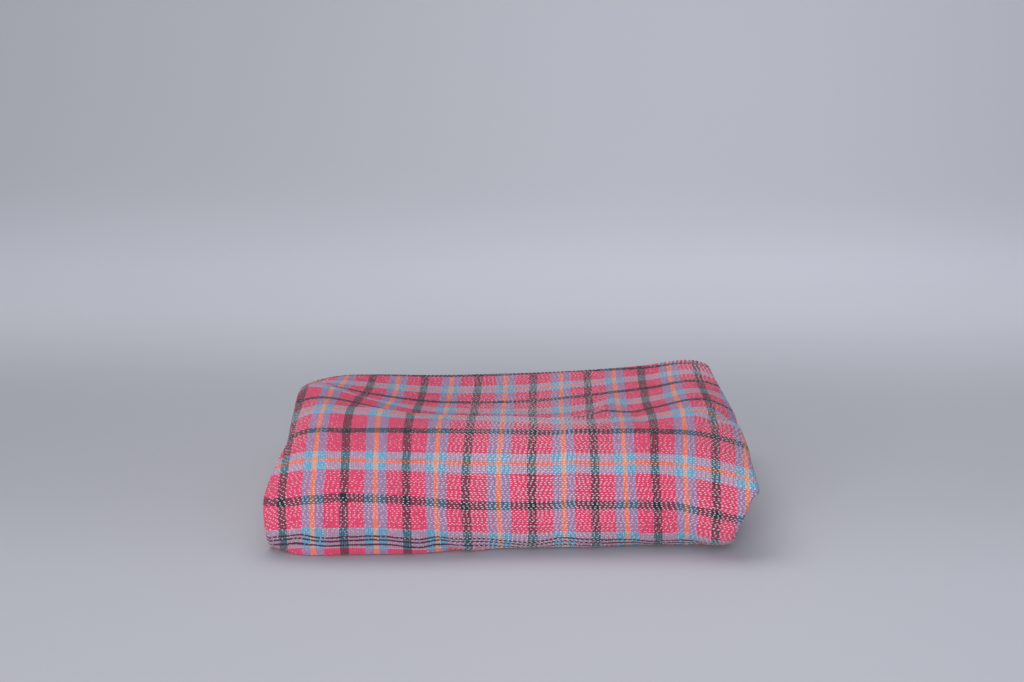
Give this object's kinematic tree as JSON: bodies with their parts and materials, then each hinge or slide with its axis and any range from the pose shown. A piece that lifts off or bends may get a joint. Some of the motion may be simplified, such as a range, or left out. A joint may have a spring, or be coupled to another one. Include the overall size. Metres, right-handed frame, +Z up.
{
  "type": "folded bedspread",
  "caption": "Folded quilted cotton bedspread in a pink, blue, orange and black check, lying flat as a soft pile of its own layers.",
  "frame": {"origin": "centre of the folded pile's footprint box, on the surface it lies on", "axes": "+X along the pile's longest side, -Y towards its rounded folded front, +Z up"},
  "size_m": [0.4886, 0.332, 0.1166],
  "materials": {
    "quilted_cotton": "matte woven cotton, checked and hand quilted with white running stitches"
  },
  "bodies": {
    "root": {"bedspread": "quilted_cotton"}
  },
  "joints": []
}
